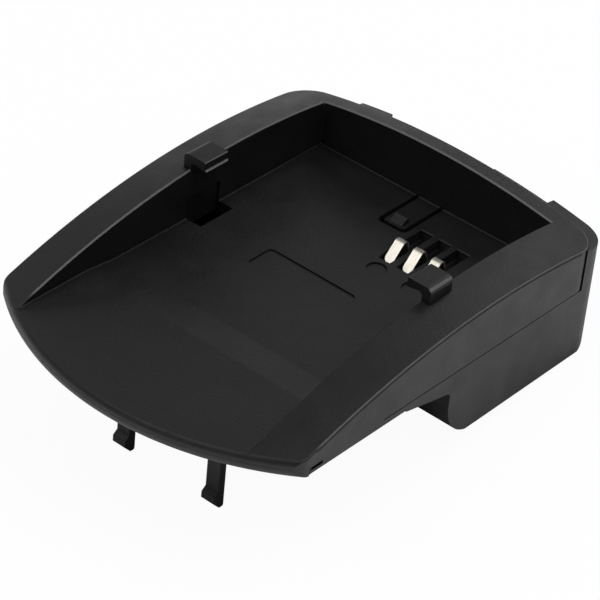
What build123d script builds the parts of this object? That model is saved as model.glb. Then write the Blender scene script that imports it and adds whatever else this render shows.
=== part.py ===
from build123d import *
import math
import os

# Clip-on charging plate for a camera battery. Millimetres, +Z up, the rounded front looks along -Y.
# It is modelled from the rear wall of the battery pocket (y = 0) and the pocket floor (z = 0),
# then moved so that the origin lies under the middle of the whole plate, level with the hook tips.

# Battery pocket
pocket_width = 40.0
pocket_corner = 0.3
base_round = 0.25
seat_length = 41.7
ramp_length = 5.4
ramp_rise = 0.65
ramp_blend = 5.0
rim_bevel = 0.24

# Domed top of the cover: a long arc from rear to front, crowned across
dome_radius = 125.2
dome_height = 10.0
dome_peak_ahead = 17.4
crown_radius = 117.0

# Plan outline
width_rear = 52.7
width_front = 52.0
front_reach = 65.55
front_radius = 42.45
front_corner = 2.6
cover_rear = 3.1
cover_rear_corner = 4.3
case_rear = 5.2
case_rear_corner = 4.0
outer_round = 0.3

# Rounded nose: the cover comes down in front of the case's plate
nose_round = 1.3
apron_depth = 3.1
apron_side = 55.0

# Fine line that runs under the top edge of both sides
line_drop = 0.3
line_height = 0.14
line_depth = 0.12
line_end = 54.0

# Walls and fits
shell = 1.5
floor_plug = 0.8
parting_drop = 0.82
skirt_height = 1.23
seam_height = 0.14
seam_depth = 0.3
seam_end = 41.0
fit_gap = 0.15
lug_gap = 0.06

# Rear block of the lower case
block_ahead = 27.3
block_depth = 10.3
block_front_round = 6.0
block_rear_round = 5.5
block_side_round = 0.6
skirt_round = 0.35
block_root_round = 0.8
gusset_length = 9.2
gusset_drop = 1.9

# Rear lugs that stand up behind the cover
lug_start = 0.15
left_lug_outer = 17.2
left_lug_inner = 11.8
left_lug_drop = 0.75
left_end_drop = 1.6
step_inner = 6.4
step_drop = 1.3
right_lug_inner = 16.6
right_lug_drop = 0.3
rear_wall_drop = 3.0

# Snap hooks
hook_spacing = 15.86
hook_width = 2.2
hook_thickness = 1.2
hook_ahead = 51.6
hook_drop = 17.77
barb_reach = 0.75
barb_height = 2.8
barb_nose = 1.0
barb_slope = 0.6
barb_round = 0.25
hook_root_round = 0.7

# Pry notch in the seam at the right front corner
notch_ahead = 53.8
notch_length = 2.2
notch_height = 0.5
notch_depth = 0.9

# Side tabs that hold the battery
tab_ahead = 25.4
tab_length = 4.5
tab_top = 10.05
tab_thick = 1.5
tab_arm = 1.0
tab_overhang = 2.5
tab_corner = 0.2
lip_reach = 0.22
lip_height = 0.12
tab_back = 1.4
tab_round = 0.95
tab_hole_ahead = 24.7
tab_hole_length = 6.6
tab_hole_reach = 2.65
tab_recess = 0.35
tab_relief = 1.0
recess_height = 3.2
tab_arch = 0.6
tab_edge = 0.25

# Latch tongue in the pocket floor
tongue_width = 3.6
tongue_length = 7.95
tongue_slit = 0.65
tongue_round = 0.5
detent_width = 2.1
detent_length = 2.0
detent_rise = 1.5
detent_height = 0.7
detent_inset = 0.3

# Label recess and ejector mark, both bare
label_width = 15.2
label_length = 5.0
label_depth = 0.18
label_ahead = 24.5
label_corner = 0.8
mark_diameter = 2.9
mark_pitch = 6.1
mark_depth = 0.22
mark_offset = 5.1
mark_ahead = 17.6

# Leaf contacts
contact_count = 3
contact_pitch = 3.15
contact_first = 4.45
slot_width = 2.1
slot_rear = 5.95
slot_front = 15.3
slot_bevel = 0.1
strip_width = 1.5
strip_thick = 0.3
crest_height = 1.5
crest_ahead = 11.3
crest_flat = 0.65
leg_ahead = 9.9
tip_ahead = 14.3
tip_drop = 1.0
strip_bend = 0.35
tail_ahead = 6.6
strip_seat = 3.0

# Contact holder
holder_side = 1.0
holder_end = 0.7
channel_gap = 0.1

# Circuit board and its parts
board_width = 32.0
board_depth = 16.5
board_thick = 1.2
board_centre_x = 1.5
board_rear = 4.6
board_standoff = 2.5
post_diameter = 4.0
tail_hole = 0.2
tail_through = 0.5
chip_width = 5.0
chip_depth = 3.9
chip_height = 1.5
chip_lead = 1.0
chip_lead_thick = 0.3
diode_width = 4.4
diode_depth = 2.6
diode_height = 2.0
capacitor_diameter = 4.0
capacitor_height = 3.6
resistor_width = 3.2
resistor_depth = 1.6
resistor_height = 0.6
chip_left = 6.5
diode_left = 11.5
diode_back = 5.6
capacitor_left = 11.8
capacitor_front = 5.2
resistor_left = 4.5
resistor_apart = 11.6

# Docking contacts in the underside
dock_count = 3
dock_pitch = 8.0
dock_width = 4.0
dock_length = 6.0
dock_thick = 0.5
dock_recess = 0.3
dock_ahead = 12.8
dock_leg_width = 2.0
dock_corner = 0.6

# Screws
cover_screw_shank = 2.2
cover_screw_head = 4.0
cover_screw_head_height = 1.6
cover_screw_bite = 3.6
boss_diameter = 5.0
boss_side = 20.6
boss_rear_ahead = 1.6
boss_front_ahead = 17.4
boss_joint = 4.4
head_seat = 2.0
head_clear = 0.2
board_screw_shank = 1.7
board_screw_head = 3.2
board_screw_head_height = 1.2
board_screw_bite = 2.0
screw_clear = 0.1
pin_diameter = 2.0
pin_length = 0.9
pin_side = 15.0
pin_ahead = 53.0

# Levels and places that follow from the sizes above
parting = -parting_drop
skirt_bottom = parting - skirt_height
block_bottom = skirt_bottom - block_depth
hook_bottom = skirt_bottom - hook_drop
block_floor = block_bottom + shell
plug_bottom = parting - floor_plug
board_bottom = block_floor + board_standoff
board_top = board_bottom + board_thick
board_y = -board_rear - board_depth / 2
dome_axis_z = dome_height - dome_radius
high = dome_height + 10.0
half_pocket = pocket_width / 2
nose_centre = front_radius - front_reach
contact_xs = [contact_first + i * contact_pitch for i in range(contact_count)]
dock_xs = [board_centre_x + (i - (dock_count - 1) / 2) * dock_pitch for i in range(dock_count)]
boss_places = [(s * boss_side, -y) for s in (-1, 1) for y in (boss_rear_ahead, boss_front_ahead)]
post_inset = post_diameter / 2 + 0.2
post_places = [(board_centre_x + s * (board_width / 2 - post_inset), board_y) for s in (-1, 1)]


def box(x0, x1, y0, y1, z0, z1):
    return Pos((x0 + x1) / 2, (y0 + y1) / 2, (z0 + z1) / 2) * Box(x1 - x0, y1 - y0, z1 - z0)


def rod(x, y, z0, z1, diameter):
    return Pos(x, y, (z0 + z1) / 2) * Cylinder(diameter / 2, z1 - z0)


def side_profile(points, width):
    """Solid of a (y, z) outline, drawn across the plate and centred on x = 0."""
    face = Plane.YZ * make_face(Polyline(*points, close=True))
    return extrude(face, width / 2, both=True)


def plan(rear, rear_corner, inset):
    """Plan outline: straight sides that close in slightly, a bowed front and rounded corners."""
    half_rear = width_rear / 2 - inset
    half_front = width_front / 2 - inset
    bow = front_radius - inset
    side_end = front_radius - front_reach - math.sqrt(bow**2 - half_front**2)
    edges = [
        Line((-half_rear, rear - inset), (half_rear, rear - inset)),
        Line((half_rear, rear - inset), (half_front, side_end)),
        ThreePointArc((half_front, side_end), (0, inset - front_reach), (-half_front, side_end)),
        Line((-half_front, side_end), (-half_rear, rear - inset)),
    ]
    face = make_face(edges)
    corners = face.vertices().sort_by(Axis.Y)
    face = fillet(corners[:2], max(front_corner - inset, 0.4))
    corners = face.vertices().sort_by(Axis.Y)
    return fillet(corners[-2:], max(rear_corner - inset, 0.4))


def corner(face, x, y):
    return face.vertices().sort_by_distance((x, y, 0))[:1]


def prism(face, z0, z1):
    return Pos(0, 0, z0) * extrude(face, z1 - z0)


def dome(inset):
    """Everything under the domed top: a crowned profile turned about an axis far below the plate."""
    reach = 0.75 * width_rear
    crown = crown_radius - inset
    top = dome_radius - inset
    edge = top - crown + math.sqrt(crown**2 - reach**2)
    core = edge - width_rear
    rim = ThreePointArc((reach, -edge), (0, -top), (-reach, -edge))
    sides = Polyline((-reach, -edge), (-reach, -core), (reach, -core), (reach, -edge))
    profile = Plane.XZ * make_face([rim, *sides.edges()])
    turned = revolve(profile, Axis.X, 360)
    return Pos(0, -dome_peak_ahead, dome_axis_z) * turned


def turning_radius(x):
    """Distance of the domed top from its axis, at x across the plate."""
    return dome_radius - crown_radius + math.sqrt(crown_radius**2 - x**2)


def rim_cut():
    """What the bevel along the pocket's rim takes off: it follows the dome down to the floor."""
    spread = 6 * rim_bevel
    foot = turning_radius(half_pocket) - rim_bevel
    sides = box(-width_rear, width_rear, -2 * front_reach, 0, ramp_rise, high)

    # Rear edge, slanting backwards
    x = half_pocket + spread
    ends = dome_axis_z + math.sqrt(turning_radius(x) ** 2 - dome_peak_ahead**2) - rim_bevel - spread
    middle = dome_axis_z + math.sqrt(dome_radius**2 - dome_peak_ahead**2) - rim_bevel - spread
    arc = ThreePointArc((-x, ends), (0, middle), (x, ends))
    lines = Polyline((x, ends), (x, high), (-x, high), (-x, ends))
    face = Pos(0, -spread, 0) * (Plane.XZ * make_face([arc, *lines.edges()]))
    rear = extrude(face, 2 * spread * math.sqrt(2), dir=(0, 1, 1))

    # Side edges, turned about the axis of the dome
    cut = rear & box(-half_pocket, half_pocket, -spread, spread, ramp_rise, 2 * high)
    for s in (-1, 1):
        points = [
            (s * (half_pocket - spread), -foot + spread),
            (s * (half_pocket + spread), -foot - spread),
            (s * (half_pocket + spread), -foot - 2 * spread),
            (s * (half_pocket - spread), -foot - 2 * spread),
        ]
        ring = revolve(Plane.XZ * make_face(Polyline(*points, close=True)), Axis.X, 360)
        cut += (Pos(0, -dome_peak_ahead, dome_axis_z) * ring) & (sides + rear)
    return cut


def dome_top(x, y):
    return dome_axis_z + math.sqrt(turning_radius(x) ** 2 - (y + dome_peak_ahead) ** 2)


def nose_cut():
    """What the rounding of the bowed front takes off: above it follows the dome, below it lies level."""
    corner_y = nose_centre - math.sqrt(front_radius**2 - (width_front / 2) ** 2)
    edge = dome_top(0, -front_reach)
    slope = 1.1 * (front_reach - dome_peak_ahead) / (edge - dome_axis_z)
    lift = math.atan2(dome_top(width_front / 2, corner_y) - edge, corner_y + front_reach)
    middle = edge - 0.7 * nose_round
    wide = width_rear
    front = -2 * front_reach

    peak = edge + slope * front_radius
    points = [(0, edge - high), (front_radius, edge - high), (front_radius, edge), (0, peak)]
    face = make_face(Polyline(*points, close=True))
    face = fillet(corner(face, front_radius, edge), nose_round)
    upper = Pos(0, front_radius, -edge) * revolve(Plane.XZ * face, Axis.Z, 360)
    upper = Pos(0, -front_reach, edge) * Rot(math.degrees(lift), 0, 0) * upper

    points = [(0, skirt_bottom), (front_radius, skirt_bottom), (front_radius, high), (0, high)]
    face = make_face(Polyline(*points, close=True))
    face = fillet(corner(face, front_radius, skirt_bottom), nose_round)
    lower = Pos(0, nose_centre, 0) * revolve(Plane.XZ * face, Axis.Z, 360)

    cut = box(-wide, wide, front, nose_centre, middle, high) - upper
    return cut + (box(-wide, wide, front, nose_centre, skirt_bottom - 1, middle) - lower)


def behind_apron(gap):
    """Tall cylinder whose front stands behind the nose and meets the sides where the apron ends."""
    middle = front_reach - apron_depth
    bulge = middle - apron_side
    radius = ((width_front / 2) ** 2 + bulge**2) / (2 * bulge)
    return Pos(0, radius - middle, 0) * Cylinder(radius + gap, 4 * high)


def make_cover():
    outline = plan(cover_rear, cover_rear_corner, 0)
    body = prism(outline, parting, high) & dome(0)
    crest = body.faces().filter_by(GeomType.PLANE, reverse=True).sort_by(SortBy.AREA)[-1]
    body = fillet(crest.outer_wire().edges(), outer_round)

    # Nose: an apron in front of the case's plate, rounded above and below
    wide = width_rear
    body += prism(outline, skirt_bottom, parting) - behind_apron(fit_gap)
    body -= nose_cut()

    # Fine line under the top edge of the sides
    line = prism(outline, 0, high) - prism(plan(cover_rear, cover_rear_corner, line_depth), -1, high + 1)
    line &= dome(line_drop) - dome(line_drop + line_height)
    body -= line & box(-wide, wide, -line_end, cover_rear - cover_rear_corner, 0, high)

    # Hollow side rims, open below; the walls and the floor of the pocket stay
    hollow = prism(plan(cover_rear, cover_rear_corner, shell), parting - 1, high) & dome(shell)
    keep = half_pocket + shell
    hollow -= box(-keep, keep, -front_reach - 5, cover_rear + 5, parting - 2, high + 1)
    body -= hollow

    # Plug under the floor that drops into the rear block
    plug_rear = cover_rear - shell
    plug_front = -block_ahead + shell + fit_gap
    body += box(-keep, keep, plug_front, plug_rear, plug_bottom, parting)

    # Pocket: level seat, short ramp, level open front and a bevelled rim
    body -= make_seat()
    body -= rim_cut()

    # Contact slots, latch slit, detent, label recess and ejector mark
    for x in contact_xs:
        body -= box(x - slot_width / 2, x + slot_width / 2, -slot_front, -slot_rear, plug_bottom - 1, 1)
        length = slot_front - slot_rear
        low = Pos(x, -slot_rear - length / 2, -slot_bevel) * Rectangle(slot_width, length)
        mouth = Rectangle(slot_width + 4 * slot_bevel, length + 4 * slot_bevel)
        body -= loft([low, Pos(x, -slot_rear - length / 2, slot_bevel) * mouth])
    slit_half = tongue_width / 2 + tongue_slit
    slit = box(-slit_half, slit_half, -tongue_length - tongue_slit, 0, plug_bottom - 1, 0.5)
    slit = fillet(slit.edges().filter_by(Axis.Z).sort_by(Axis.Y)[:2], tongue_round + tongue_slit / 2)
    tongue = box(-tongue_width / 2, tongue_width / 2, -tongue_length, 1, plug_bottom - 2, 1)
    body -= slit - fillet(tongue.edges().filter_by(Axis.Z).sort_by(Axis.Y)[:2], tongue_round)
    detent_front = -tongue_length + detent_inset
    body += side_profile(
        [
            (detent_front, -0.1),
            (detent_front + detent_rise, detent_height),
            (detent_front + detent_length, -0.1),
        ],
        detent_width,
    )
    label_face = RectangleRounded(label_width, label_length, label_corner)
    body -= Pos(0, -label_ahead - label_length / 2, -label_depth) * extrude(label_face, label_depth + 0.5)
    for x in (mark_offset, mark_offset + mark_pitch):
        body -= rod(x, -mark_ahead, -mark_depth, 0.5, mark_diameter)

    # Side tabs, each over its own hole in the floor
    for s in (-1, 1):
        body += make_tab(s)
        hole_x = sorted((s * (half_pocket + tab_recess), s * (half_pocket - tab_hole_reach)))
        hole_y = -tab_hole_ahead - tab_hole_length / 2
        body -= box(*hole_x, hole_y, hole_y + tab_hole_length, plug_bottom - 1, recess_height)

    # Screw bosses and locating pins underneath
    for x, y in boss_places:
        body += rod(x, y, -boss_joint, parting + 0.3, boss_diameter)
        body -= rod(x, y, -boss_joint - 1, cover_screw_bite - boss_joint, cover_screw_shank + screw_clear)
    for s in (-1, 1):
        body += rod(s * pin_side, -pin_ahead, parting - pin_length, parting + 0.2, pin_diameter)
    return body


def make_seat():
    """Space of the battery: floor with its ramp, upright corners and the foot of the walls rounded."""
    far = front_reach + shell
    points = [
        (0, 0),
        (0, high),
        (-far, high),
        (-far, ramp_rise),
        (-seat_length - ramp_length, ramp_rise),
        (-seat_length, 0),
    ]
    face = make_face(Polyline(*points, close=True))
    bends = corner(face, -seat_length, 0) + corner(face, -seat_length - ramp_length, ramp_rise)
    face = fillet(bends, ramp_blend)
    seat = extrude(Plane.YZ * face, half_pocket, both=True)
    seat = fillet(seat.edges().filter_by(Axis.Z).sort_by(Axis.Y)[-2:], pocket_corner)
    foot = [e for e in seat.edges() if e.center().Z < ramp_rise + 0.01 and e.center().Y > -far + 0.1]
    foot = [e for e in foot if abs(e.center().X) > half_pocket - pocket_corner or e.center().Y > -0.1]
    return fillet(foot, base_round)


def make_tab(side):
    """Hooked tab on the pocket wall: it rises above the rim and hangs over the pocket."""
    inner = half_pocket - tab_overhang
    outer = half_pocket + tab_back
    under = tab_top - tab_thick
    root = dome_height / 2
    points = [
        (half_pocket, root),
        (half_pocket, tab_top - tab_arm),
        (inner - lip_reach, under),
        (inner - lip_reach, under + lip_height),
        (inner, under + lip_height + lip_reach),
        (inner, tab_top),
        (outer, tab_top),
        (outer, root),
    ]
    face = make_face(Polyline(*[(side * x, z) for x, z in points], close=True))
    face = fillet(corner(face, side * inner, tab_top), tab_edge)
    face = fillet(corner(face, side * outer, tab_top), tab_round)
    face = fillet(corner(face, side * half_pocket, tab_top - tab_arm), tab_arch)
    front = Plane(origin=(0, tab_length / 2 - tab_ahead, 0), x_dir=(1, 0, 0), z_dir=(0, -1, 0))
    tab = extrude(front * face, tab_length)
    footprint = RectangleRounded(outer - inner + lip_reach, tab_length, tab_corner)
    middle = side * (outer + inner - lip_reach) / 2
    return tab & (Pos(middle, -tab_ahead, 0) * prism(footprint, root - 1, tab_top + 1))


def block_side(front, rear, bottom, top, front_round, rear_round, gusset):
    """Side view of the rear block, drawn right across, with or without the gusset to the plate."""
    points = [(rear, top), (rear, bottom), (front, bottom)]
    if gusset:
        root = skirt_bottom - gusset_drop
        points += [(front, root), (front - gusset_length, skirt_bottom), (front - gusset_length, top)]
    else:
        points += [(front, top)]
    face = make_face(Polyline(*points, close=True))
    face = fillet(corner(face, front, bottom), front_round)
    face = fillet(corner(face, rear, bottom), rear_round)
    if gusset:
        face = fillet(corner(face, front, root), block_root_round)
    return extrude(Plane.YZ * face, width_rear, both=True)


def make_case():
    outline = plan(case_rear, case_rear_corner, 0)
    wide = width_rear
    half = width_rear / 2

    # Thin plate under the whole cover and a deep rear block
    body = prism(outline, skirt_bottom, parting) & behind_apron(0)
    body = fillet(body.faces().sort_by(Axis.Z)[0].edges().sort_by(Axis.Y)[1:], skirt_round)
    block = block_side(
        -block_ahead,
        case_rear,
        block_bottom,
        parting,
        block_front_round,
        block_rear_round,
        True,
    )
    block &= prism(outline, block_bottom - 1, parting)
    points = [(-half, parting), (-half, block_bottom), (half, block_bottom), (half, parting)]
    girth = make_face(Polyline(*points, close=True))
    girth = fillet(corner(girth, -half, block_bottom) + corner(girth, half, block_bottom), block_side_round)
    block &= extrude(Plane.XZ * girth, front_reach, both=True)
    body += block

    # Lugs that stand up behind the cover, and a lower wall between them
    rear = prism(outline, parting - 0.2, high)
    rear -= prism(plan(cover_rear, cover_rear_corner, -lug_gap), parting - 1, high)
    sections = [
        (-wide, -left_lug_outer, left_end_drop),
        (-left_lug_outer, -left_lug_inner, left_lug_drop),
        (-left_lug_inner, step_inner, rear_wall_drop),
        (step_inner, right_lug_inner, step_drop),
        (right_lug_inner, wide, right_lug_drop),
    ]
    for x0, x1, drop in sections:
        body += rear & dome(drop) & box(x0, x1, lug_start, case_rear + 1, parting - 0.5, high)

    # Hollow of the block, open under the cover
    hollow_rear = cover_rear + fit_gap
    hollow = block_side(
        -block_ahead + shell,
        hollow_rear,
        block_floor,
        parting + 1,
        block_front_round - shell,
        block_rear_round - shell,
        False,
    )
    hollow &= prism(plan(case_rear, case_rear_corner, shell), block_floor - 1, parting + 1)
    body -= hollow

    # Relief in the front wall of the block under each tab hole
    for s in (-1, 1):
        relief_x = sorted((s * (half_pocket + tab_recess), s * (half_pocket - tab_hole_reach)))
        relief_rear = -block_ahead + shell + fit_gap
        body -= box(*relief_x, -block_ahead, relief_rear, parting - tab_relief, parting + 1)

    # Shadow line under the cover, and the pry notch in it
    seam = prism(outline, parting - seam_height, parting + 1)
    seam -= prism(plan(case_rear, case_rear_corner, seam_depth), parting - 2, parting + 2)
    body -= seam & box(-wide, wide, -seam_end, lug_start, parting - 2, parting + 1)
    notch_y = -notch_ahead - notch_length / 2
    notch_x = width_front / 2 - notch_depth
    body -= box(notch_x, wide, notch_y, notch_y + notch_length, parting - notch_height, parting + 1)

    # Screw tubes, board posts and pin holes
    tube = boss_diameter + 2 * fit_gap
    through = cover_screw_shank + 2 * head_clear
    for x, y in boss_places:
        body += rod(x, y, block_floor - 0.5, -boss_joint, tube)
        body -= rod(x, y, block_bottom - 1, -boss_joint + 1, through)
        body -= rod(x, y, block_bottom - 1, block_bottom + head_seat, cover_screw_head + 2 * head_clear)
    for x, y in post_places:
        body += rod(x, y, block_floor - 0.5, board_bottom, post_diameter)
        bite = board_bottom - board_screw_bite
        body -= rod(x, y, bite, board_bottom + 1, board_screw_shank + screw_clear)
    for s in (-1, 1):
        bore = pin_diameter + 2 * fit_gap
        body -= rod(s * pin_side, -pin_ahead, parting - pin_length - 0.1, parting + 1, bore)

    # Seats of the docking contacts in the underside
    for x in dock_xs:
        seat = RectangleRounded(dock_width + 2 * screw_clear, dock_length + 2 * screw_clear, dock_corner)
        body -= Pos(x, -dock_ahead, block_bottom - 1) * extrude(seat, 1 + dock_recess + dock_thick)
        leg = dock_leg_width / 2 + screw_clear
        slot = dock_thick / 2 + screw_clear
        body -= box(x - leg, x + leg, -dock_ahead - slot, -dock_ahead + slot, block_bottom, block_floor + 1)

    # Long snap hooks under the front
    for s in (-1, 1):
        body += Pos(s * hook_spacing / 2, 0, 0) * make_hook()
    middle_y = hook_thickness / 2 - hook_ahead
    roots = [e for e in body.edges() if abs(e.center().Z - skirt_bottom) < 1e-3]
    roots = [e for e in roots if abs(e.center().Y - middle_y) < hook_thickness]
    roots = [e for e in roots if e.length < hook_width + 0.1]
    return fillet(roots, hook_root_round)


def make_hook():
    """Springy arm with a forward barb: a sloped catch above, a blunt nose and a tapered lead-in."""
    back = hook_thickness - hook_ahead
    face_y = -hook_ahead
    catch = hook_bottom + barb_height
    nose_top = catch - barb_slope
    tip = face_y + hook_thickness / 3
    points = [
        (back, skirt_bottom + 0.3),
        (face_y, skirt_bottom + 0.3),
        (face_y, catch),
        (face_y - barb_reach, nose_top),
        (face_y - barb_reach, nose_top - barb_nose),
        (tip, hook_bottom),
        (back, hook_bottom),
    ]
    face = make_face(Polyline(*points, close=True))
    tip_y = face_y - barb_reach
    rounded = corner(face, tip_y, nose_top) + corner(face, tip_y, nose_top - barb_nose)
    rounded += corner(face, tip, hook_bottom) + corner(face, back, hook_bottom)
    face = fillet(rounded, barb_round)
    return extrude(Plane.YZ * face, hook_width / 2, both=True)


def make_spring(x):
    """Leaf contact: tail through the board, flat seat in the holder, steep leg, crest and sloped front."""
    crest_z = crest_height - strip_thick / 2
    path = FilletPolyline(
        (-tail_ahead, board_bottom - tail_through),
        (-tail_ahead, -strip_seat),
        (-leg_ahead, -strip_seat),
        (-crest_ahead, crest_z),
        (-crest_ahead - crest_flat, crest_z),
        (-tip_ahead, -tip_drop),
        radius=strip_bend,
    )
    band = Plane.YZ * trace(path, strip_thick)
    strip = extrude(band, strip_width / 2, both=True)
    ends = [e for e in strip.edges() if e.length < strip_thick * 1.2 and e.center().Y < -tip_ahead + 0.3]
    strip = fillet(ends, strip_width / 2 - 0.1)
    return Pos(x, 0, 0) * strip


def make_holder():
    """Carrier under the pocket floor, with one channel for each leaf contact."""
    x0 = contact_xs[0] - slot_width / 2 - holder_side
    x1 = contact_xs[-1] + slot_width / 2 + holder_side
    body = box(x0, x1, -slot_front - holder_end, -slot_rear + holder_end, board_top, plug_bottom)
    half = strip_width / 2 + channel_gap
    under = -strip_seat - strip_thick / 2
    tail = strip_thick / 2 + channel_gap
    for x in contact_xs:
        body -= box(x - half, x + half, -slot_front, -slot_rear, under, 0)
        shaft = -tail_ahead - tail - strip_bend
        body -= box(x - half, x + half, shaft, -tail_ahead + tail, board_top - 1, under + 0.1)
    return body


def make_board():
    sheet = Rectangle(board_width, board_depth)
    board = Pos(board_centre_x, board_y, board_bottom) * extrude(sheet, board_thick)
    for x in contact_xs:
        half = strip_width / 2 + tail_hole
        deep = strip_thick / 2 + tail_hole
        hole = Box(2 * half, 2 * deep, 4 * board_thick)
        board -= Pos(x, -tail_ahead, board_top - board_thick / 2) * hole
    for x, y in post_places:
        board -= rod(x, y, board_bottom - 1, board_top + 1, board_screw_shank + 2 * head_clear)
    return board


def make_chip():
    """Small chip with four flat leads on each long side."""
    x = board_centre_x - chip_left
    level = board_top + chip_lead_thick / 3 + chip_height / 2
    body = Pos(x, board_y, level) * Box(chip_width, chip_depth, chip_height)
    pitch = chip_width / 4
    for i in range(4):
        lead_x = x + (i - 1.5) * pitch
        reach = chip_depth / 2 + chip_lead
        body += box(
            lead_x - 0.2,
            lead_x + 0.2,
            board_y - reach,
            board_y + reach,
            board_top,
            board_top + chip_lead_thick,
        )
    return body


def make_diode():
    x = board_centre_x - diode_left
    y = board_y + diode_back
    body = Pos(x, y, board_top + diode_height / 2) * Box(diode_width, diode_depth, diode_height)
    return chamfer(body.faces().sort_by(Axis.Z)[-1].edges(), 0.25)


def make_capacitor():
    x = board_centre_x - capacitor_left
    y = board_y - capacitor_front
    body = rod(x, y, board_top, board_top + capacitor_height, capacitor_diameter)
    return fillet(body.edges().sort_by(Axis.Z)[-1:], 0.4)


def make_resistor(side):
    x = board_centre_x - resistor_left
    y = board_y + side * resistor_apart / 2
    return Pos(x, y, board_top + resistor_height / 2) * Box(resistor_width, resistor_depth, resistor_height)


def make_dock(x):
    """Flat contact in the underside with a leg up to the board."""
    low = block_bottom + dock_recess
    outline = RectangleRounded(dock_width, dock_length, dock_corner)
    pad = Pos(x, -dock_ahead, low) * extrude(outline, dock_thick)
    leg = box(
        x - dock_leg_width / 2,
        x + dock_leg_width / 2,
        -dock_ahead - dock_thick / 2,
        -dock_ahead + dock_thick / 2,
        low + dock_thick / 2,
        board_bottom,
    )
    return pad + leg


def screw(x, y, seat, tip, shank, head, head_height, up):
    """Pan-head screw: seat is the level under the head, tip the end of the shank, with a cross recess."""
    top = seat - up * head_height
    body = rod(x, y, min(seat, tip), max(seat, tip), shank)
    cap = rod(x, y, min(seat, top), max(seat, top), head)
    rim = cap.edges().sort_by(Axis.Z)[0 if up > 0 else -1]
    cap = fillet(rim, head_height * 0.4)
    deep = head_height * 0.5
    low = min(top, top + up * deep)
    high_z = max(top, top + up * deep)
    arm = head * 0.3
    slot = head * 0.08
    cap -= box(x - arm, x + arm, y - slot, y + slot, low, high_z)
    cap -= box(x - slot, x + slot, y - arm, y + arm, low, high_z)
    return body + cap


def make_cover_screws():
    seat = block_bottom + head_seat
    tip = cover_screw_bite - boss_joint - 0.3
    size = (cover_screw_shank, cover_screw_head, cover_screw_head_height)
    return [screw(x, y, seat, tip, *size, 1) for x, y in boss_places]


def make_board_screws():
    tip = board_bottom - board_screw_bite + 0.2
    size = (board_screw_shank, board_screw_head, board_screw_head_height)
    return [screw(x, y, board_top, tip, *size, -1) for x, y in post_places]


pieces = {
    "top_cover": make_cover(),
    "bottom_case": make_case(),
    "contact_holder": make_holder(),
    "circuit_board": make_board(),
    "board_chip": make_chip(),
    "board_diode": make_diode(),
    "board_capacitor": make_capacitor(),
    "sense_resistor_1": make_resistor(-1),
    "sense_resistor_2": make_resistor(1),
    "cover_screws": Compound(children=make_cover_screws()),
    "board_screws": Compound(children=make_board_screws()),
}
for i, x in enumerate(contact_xs):
    pieces[f"contact_spring_{i + 1}"] = make_spring(x)
for i, x in enumerate(dock_xs):
    pieces[f"dock_contact_{i + 1}"] = make_dock(x)

# The origin goes under the middle of the plate, level with the hook tips
home = Pos(0, (front_reach - case_rear) / 2, -hook_bottom)
os.makedirs("parts", exist_ok=True)
for name, solid in pieces.items():
    export_step(home * solid, f"parts/{name}.step")
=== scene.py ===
import math

import bpy
from mathutils import Matrix, Vector


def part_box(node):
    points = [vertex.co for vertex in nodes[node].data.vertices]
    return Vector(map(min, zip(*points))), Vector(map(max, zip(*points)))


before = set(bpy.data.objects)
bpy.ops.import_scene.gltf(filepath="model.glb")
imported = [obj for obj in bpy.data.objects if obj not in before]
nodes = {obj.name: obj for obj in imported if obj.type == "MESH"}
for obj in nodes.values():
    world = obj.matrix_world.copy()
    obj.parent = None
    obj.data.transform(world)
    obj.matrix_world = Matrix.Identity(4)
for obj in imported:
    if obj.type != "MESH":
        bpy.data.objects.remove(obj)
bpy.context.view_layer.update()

scene = bpy.context.scene


# Shader nodes

def put(tree, socket, value):
    """Give a socket its value, or a link where the value is another node's output."""
    if isinstance(value, bpy.types.NodeSocket):
        tree.links.new(value, socket)
    else:
        socket.default_value = value


def add_node(tree, kind, inputs=(), **settings):
    node = tree.nodes.new(kind)
    for key, value in settings.items():
        setattr(node, key, value)
    for key, value in dict(inputs).items():
        put(tree, node.inputs[key], value)
    return node


def math_node(tree, operation, first, second):
    return add_node(tree, "ShaderNodeMath", {0: first, 1: second}, operation=operation).outputs[0]


def map_range(tree, value, start, end, low, high):
    """Carry a value that runs from start to end over to the range from low to high."""
    inputs = {"Value": value, "From Min": start, "From Max": end, "To Min": low, "To Max": high}
    return add_node(tree, "ShaderNodeMapRange", inputs).outputs["Result"]


def openness(tree, reach):
    """How open a point lies: 1 in the open, less where something within reach covers it."""
    return add_node(tree, "ShaderNodeAmbientOcclusion", {"Distance": reach}, samples=8).outputs["AO"]


def mix_shaders(tree, share, first, second):
    return add_node(tree, "ShaderNodeMixShader", {0: share, 1: first, 2: second}).outputs[0]


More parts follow.
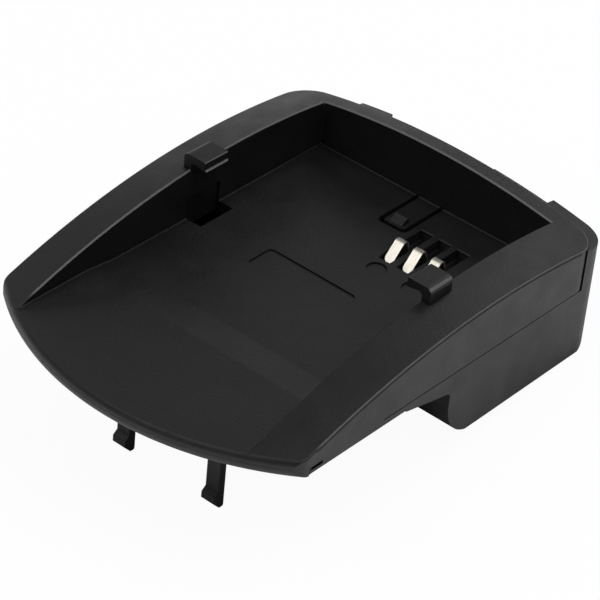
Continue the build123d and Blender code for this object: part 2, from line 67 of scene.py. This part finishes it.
class Shader:
    """A material with its Principled shader and short calls that add nodes to it."""

    def __init__(self, name):
        self.material = bpy.data.materials.new(name)
        self.material.use_nodes = True
        self.tree = self.material.node_tree
        self.surface = self.tree.nodes["Principled BSDF"]
        coordinates = add_node(self.tree, "ShaderNodeTexCoord").outputs
        self.place = coordinates["Object"]
        self.facing = coordinates["Normal"]

    def set(self, name, value):
        put(self.tree, self.surface.inputs[name], value)

    def axes(self, vector):
        return add_node(self.tree, "ShaderNodeSeparateXYZ", {"Vector": vector}).outputs

    def noise(self, scale, detail=3.0, roughness=0.5, stretch=None):
        vector = self.place
        if stretch:
            mapping = {"Vector": vector, "Scale": stretch}
            vector = add_node(self.tree, "ShaderNodeMapping", mapping).outputs["Vector"]
        inputs = {"Vector": vector, "Scale": scale, "Detail": detail, "Roughness": roughness}
        return add_node(self.tree, "ShaderNodeTexNoise", inputs).outputs["Fac"]

    def span(self, value, low, high, start=0.3, end=0.7):
        return map_range(self.tree, value, start, end, low, high)

    def blend(self, value, first, second):
        """The first colour where the value is 0 and the second where it is 1."""
        inputs = {0: value, 6: first, 7: second}
        return add_node(self.tree, "ShaderNodeMix", inputs, data_type="RGBA").outputs[2]

    def mottle(self, scale, first, second, detail=3.0):
        """A colour that drifts between two tones."""
        return self.blend(self.span(self.noise(scale, detail), 0, 1), first, second)

    def all_of(self, *masks):
        """A mask that is 1 only where each of the masks is."""
        whole = masks[0]
        for mask in masks[1:]:
            whole = math_node(self.tree, "MULTIPLY", whole, mask)
        return whole

    def bump(self, height, strength, distance):
        inputs = {"Height": height, "Strength": strength, "Distance": distance}
        return add_node(self.tree, "ShaderNodeBump", inputs).outputs["Normal"]


# Materials

def moulded_plastic():
    """Black moulded plastic with a fine grain, with a painted highlight on the pocket's bevel faces and
    painted shade in its grooves.
    """
    bevel_foot, bevel_fade = 0.0212, 0.0004
    # How far the painted groove shade reaches
    groove_shade_reach = 0.0008
    s = Shader("moulded_black_plastic")
    grain = s.noise(2400.0, 3.0, 0.65)
    facing = s.axes(s.facing)

    # Painted highlight: the bevel faces lean 30 to 60 degrees and lie above the pocket floor, and are painted
    # pale grey; the one that faces left stays black
    painted_bevel_highlight = s.all_of(
        s.span(facing["Z"], 1, 0, 0.80, 0.88),
        s.span(facing["Z"], 0, 1, 0.45, 0.55),
        s.span(s.axes(s.place)["Z"], 0, 1, bevel_foot, bevel_foot + bevel_fade),
        s.span(facing["X"], 0, 1, -0.5, -0.2),
    )
    body = s.mottle(90.0, (0.006, 0.006, 0.0064, 1), (0.009, 0.009, 0.0094, 1), 2.0)
    # The bevel mask paints a pale grey highlight into the base colour
    s.set("Base Color", s.blend(painted_bevel_highlight, body, (0.17, 0.17, 0.17, 1)))
    s.set("Roughness", s.span(s.noise(240.0), 0.42, 0.52))
    # Painted shade: the specular level drops where something close by covers the surface, darkening grooves
    # and recesses
    s.set("Specular IOR Level", s.span(openness(s.tree, groove_shade_reach), 0.1, 0.5, 0.55, 0.86))
    s.set("Normal", s.bump(grain, 0.5, 0.00009))
    return s.material


def holder_plastic():
    s = Shader("holder_plastic")
    s.set("Base Color", s.mottle(160.0, (0.011, 0.011, 0.012, 1), (0.017, 0.017, 0.018, 1)))
    s.set("Roughness", s.span(s.noise(300.0), 0.5, 0.62))
    s.set("Normal", s.bump(s.noise(3800.0, 2.0), 0.2, 0.00004))
    return s.material


def contact_metal():
    """Bright plated spring strip, brushed along its length."""
    s = Shader("plated_contact_metal")
    brushed = s.noise(900.0, 3.0, 0.6, (6.0, 0.4, 0.4))
    s.set("Metallic", 1.0)
    s.set("Base Color", s.mottle(420.0, (0.96, 0.93, 0.86, 1), (0.92, 0.86, 0.74, 1)))
    s.set("Roughness", s.span(brushed, 0.26, 0.4))
    s.set("Normal", s.bump(brushed, 0.15, 0.00002))
    return s.material


def dock_metal():
    """Gilded flat contacts, brushed across."""
    s = Shader("dock_contact_metal")
    brushed = s.noise(1100.0, 3.0, 0.6, (0.4, 5.0, 0.4))
    s.set("Metallic", 1.0)
    s.set("Base Color", s.mottle(380.0, (0.84, 0.74, 0.50, 1), (0.70, 0.58, 0.34, 1)))
    s.set("Roughness", s.span(brushed, 0.24, 0.4))
    s.set("Normal", s.bump(brushed, 0.12, 0.00002))
    return s.material


def screw_steel():
    s = Shader("zinc_screw_steel")
    s.set("Metallic", 1.0)
    s.set("Base Color", s.mottle(600.0, (0.58, 0.59, 0.60, 1), (0.42, 0.43, 0.45, 1)))
    s.set("Roughness", s.span(s.noise(1500.0), 0.28, 0.46))
    s.set("Normal", s.bump(s.noise(2600.0), 0.15, 0.00002))
    return s.material


def board_laminate():
    """Green solder mask over faint copper runs."""
    s = Shader("board_laminate")
    wave = {"Vector": s.place, "Scale": 260.0, "Distortion": 6.0, "Detail": 1.0, "Detail Scale": 0.6}
    runs = add_node(s.tree, "ShaderNodeTexWave", wave).outputs["Fac"]
    copper = s.span(runs, 0, 1, 0.72, 0.8)
    s.set("Base Color", s.blend(copper, (0.008, 0.075, 0.028, 1), (0.020, 0.135, 0.045, 1)))
    s.set("Roughness", s.span(s.noise(700.0), 0.3, 0.44))
    s.set("Normal", s.bump(copper, 0.3, 0.00003))
    return s.material


def chip_plastic():
    s = Shader("chip_plastic")
    s.set("Base Color", s.mottle(500.0, (0.012, 0.012, 0.013, 1), (0.022, 0.022, 0.023, 1)))
    s.set("Roughness", s.span(s.noise(900.0), 0.55, 0.7))
    s.set("Normal", s.bump(s.noise(7000.0), 0.25, 0.00003))
    return s.material


def capacitor_can():
    s = Shader("capacitor_can")
    s.set("Metallic", 1.0)
    s.set("Base Color", s.mottle(500.0, (0.72, 0.73, 0.75, 1), (0.60, 0.61, 0.63, 1)))
    s.set("Roughness", s.span(s.noise(1300.0), 0.3, 0.42))
    s.set("Normal", s.bump(s.noise(2200.0), 0.1, 0.00002))
    return s.material


plastic = moulded_plastic()
contact = contact_metal()
dock = dock_metal()
steel = screw_steel()
chip = chip_plastic()
finishes = {
    "top_cover": plastic,
    "bottom_case": plastic,
    "contact_holder": holder_plastic(),
    "circuit_board": board_laminate(),
    "board_chip": chip,
    "board_diode": chip,
    "board_capacitor": capacitor_can(),
    "sense_resistor_1": chip,
    "sense_resistor_2": chip,
    "cover_screws": steel,
    "board_screws": steel,
}
for name, node in nodes.items():
    if name.startswith("contact_spring"):
        finish = contact
    elif name.startswith("dock_contact"):
        finish = dock
    else:
        finish = finishes[name]
    for slot in node.material_slots:
        slot.material = finish


# White backdrop: the floor, and the world beyond it

def white_share(tree, straight, mirrored):
    """How white a backdrop looks, straight to the camera and mirrored in gloss or glass."""
    path = add_node(tree, "ShaderNodeLightPath").outputs
    gloss = math_node(tree, "MAXIMUM", path["Is Glossy Ray"], path["Is Transmission Ray"])
    gloss = math_node(tree, "MULTIPLY", gloss, mirrored)
    camera = math_node(tree, "MULTIPLY", path["Is Camera Ray"], straight)
    return math_node(tree, "MAXIMUM", camera, gloss)


def paper_floor():
    """Paper that looks white to the camera, and in gloss where nothing covers it, and is clear from below."""
    cover_reach = 0.06
    covered, uncovered = 0.43, 0.8
    straight_share, mirrored_share = 0.85, 0.8
    white = {"Color": (1, 1, 1, 1), "Strength": 1.12}
    material = bpy.data.materials.new("white_paper_floor")
    material.use_nodes = True
    tree = material.node_tree
    tree.nodes.clear()
    matt = add_node(tree, "ShaderNodeBsdfDiffuse", {"Color": (0.5, 0.5, 0.5, 1)}).outputs[0]
    glow = add_node(tree, "ShaderNodeEmission", white).outputs[0]
    mirrored = map_range(tree, openness(tree, cover_reach), covered, uncovered, 0, mirrored_share)
    top = mix_shaders(tree, white_share(tree, straight_share, mirrored), matt, glow)
    below = add_node(tree, "ShaderNodeNewGeometry").outputs["Backfacing"]
    clear = add_node(tree, "ShaderNodeBsdfTransparent").outputs[0]
    add_node(tree, "ShaderNodeOutputMaterial", {"Surface": mix_shaders(tree, below, top, clear)})
    return material


def studio_world():
    """A dim room whose backdrop looks white to the camera."""
    room_strength, white_strength = 0.02, 1.0
    straight_share, mirrored_share = 1.0, 0.06
    world = bpy.data.worlds.new("studio")
    world.use_nodes = True
    tree = world.node_tree
    tree.nodes.clear()
    room, backdrop = (
        add_node(tree, "ShaderNodeBackground", {"Color": (1, 1, 1, 1), "Strength": strength}).outputs[0]
        for strength in (room_strength, white_strength)
    )
    seen = mix_shaders(tree, white_share(tree, straight_share, mirrored_share), room, backdrop)
    add_node(tree, "ShaderNodeOutputWorld", {"Surface": seen})
    return world


scene.world = studio_world()


# Floor: the plate lies on its hook tips and the rear edge of its block, nose up

floor_half = 4.0
hook_clear = 0.02
touching = 1e-5
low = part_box("bottom_case")[0]
points = [v.co for v in nodes["bottom_case"].data.vertices]
tips = [p for p in points if p.z < low[2] + touching]
pivot = max(tips, key=lambda p: p.y)
slope = min(math.atan2(p.z - pivot.z, p.y - pivot.y) for p in points if p.y > pivot.y + hook_clear)

floor_mesh = bpy.data.meshes.new("floor")
corners = [(x * floor_half, y * floor_half, 0) for x, y in ((-1, -1), (1, -1), (1, 1), (-1, 1))]
floor_mesh.from_pydata(corners, [], [(0, 1, 2, 3)])
floor_mesh.materials.append(paper_floor())
floor = bpy.data.objects.new("floor", floor_mesh)
floor.matrix_world = Matrix.Translation((0, pivot.y, pivot.z)) @ Matrix.Rotation(slope, 4, "X")
scene.collection.objects.link(floor)


# Light: softboxes round the plate, each turned to its middle

lamp_distance = 0.95
plate_middle = Vector((0, 0, 0.01))


def softbox(name, bearing, height, side, watts):
    """A square lamp, its bearing counted from +X towards +Y, both angles in degrees."""
    light = bpy.data.lights.new(name, "AREA")
    light.shape = "RECTANGLE"
    light.size = light.size_y = side
    light.energy = watts
    bearing, height = math.radians(bearing), math.radians(height)
    level = math.cos(height)
    place = lamp_distance * Vector((level * math.cos(bearing), level * math.sin(bearing), math.sin(height)))
    lamp = bpy.data.objects.new(name, light)
    lamp.location = place
    lamp.rotation_euler = (plate_middle - place).to_track_quat("-Z", "Y").to_euler()
    scene.collection.objects.link(lamp)


softbox("rear", 90, 42, 0.5, 1.35)
softbox("front", 270, 42, 0.5, 1.35)
softbox("front_high", 270, 64, 0.5, 0.35)
softbox("right", 0, 42, 0.5, 0.65)
softbox("right_high", 0, 64, 0.5, 2.15)
softbox("rear_left", 135, 15, 0.5, 0.58)
softbox("left", 180, 15, 0.5, 0.25)
softbox("left_mid", 180, 36, 0.5, 0.35)
softbox("left_high", 188, 54, 0.5, 0.3)
softbox("left_front", 230, 40, 0.3, 0.48)


# Camera: at the photo's angle, taken from the plate's own edges

turn, rise, roll = (math.radians(angle) for angle in (37.7584, 35.7805, -5.7316))
stand = Vector((0.1933947, -0.2464056, 0.2440453))
camera_data = bpy.data.cameras.new("camera")
camera_data.sensor_width = 36.0
camera_data.lens = 175.78
camera_data.clip_start = 0.01
camera_data.clip_end = 50.0
camera = bpy.data.objects.new("camera", camera_data)
scene.collection.objects.link(camera)
back = Vector((math.sin(turn) * math.cos(rise), -math.cos(turn) * math.cos(rise), math.sin(rise)))
right = Vector((math.cos(turn), math.sin(turn), 0))
up = back.cross(right)
across = math.cos(roll) * right - math.sin(roll) * up
upward = math.sin(roll) * right + math.cos(roll) * up
axes = Matrix((across, upward, back)).transposed()
camera.matrix_world = Matrix.Translation(stand) @ axes.to_4x4()
scene.camera = camera
scene.view_settings.view_transform = "Standard"
